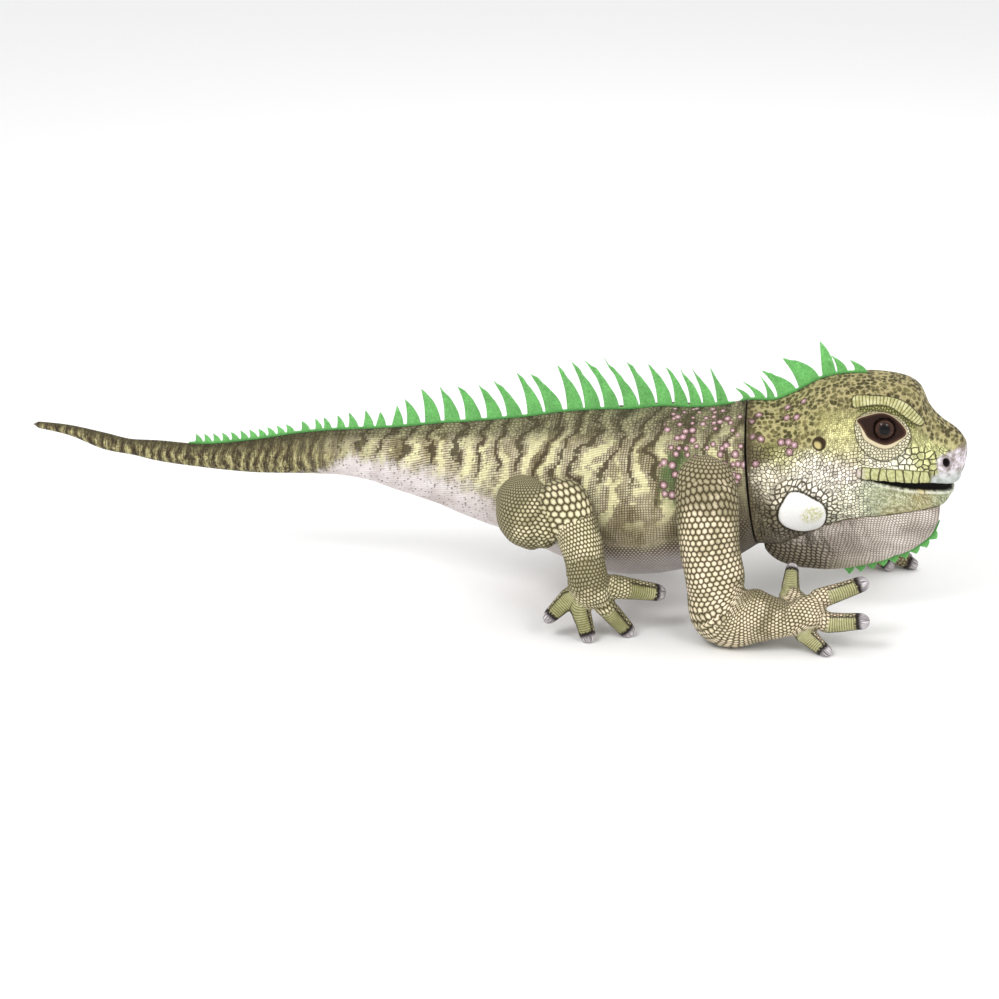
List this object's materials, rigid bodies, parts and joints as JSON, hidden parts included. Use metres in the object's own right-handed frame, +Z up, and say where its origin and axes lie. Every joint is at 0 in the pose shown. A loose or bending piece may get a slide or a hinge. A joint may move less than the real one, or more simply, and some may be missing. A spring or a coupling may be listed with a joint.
{
  "type": "plush toy iguana",
  "caption": "Stuffed plush iguana in printed scale fabric, standing with raised head and long tail, with felt back, head and throat crests and domed plastic eyes.",
  "frame": {"origin": "centre of the bounding box on the floor the toy stands on", "axes": "+X from the tail out of the nose, +Y to the animal's left, +Z up"},
  "size_m": [1.035, 0.3228, 0.3039],
  "materials": {
    "printed_skin": "short smooth plush printed with rows of scales, dark wavy bands and pale patches",
    "printed_limbs": "short smooth plush printed with cream scales outlined in dark brown",
    "green_felt": "matt green felt",
    "eye_plastic": "glossy dark brown dome with a black pupil"
  },
  "bodies": {
    "root": {"trunk": "printed_skin", "tail_base": "printed_skin", "tail_middle": "printed_skin", "tail_tip": "printed_skin", "neck": "printed_skin", "head": "printed_skin", "throat_pouch": "printed_skin", "right_upper_arm": "printed_limbs", "right_forearm": "printed_limbs", "right_hand": "printed_limbs", "left_upper_arm": "printed_limbs", "left_forearm": "printed_limbs", "left_hand": "printed_limbs", "right_thigh": "printed_limbs", "right_shank": "printed_limbs", "right_foot": "printed_limbs", "left_thigh": "printed_limbs", "left_shank": "printed_limbs", "left_foot": "printed_limbs", "crest_back": "green_felt", "crest_head": "green_felt", "crest_throat": "green_felt", "eye_left": "eye_plastic", "eye_right": "eye_plastic"}
  },
  "joints": []
}
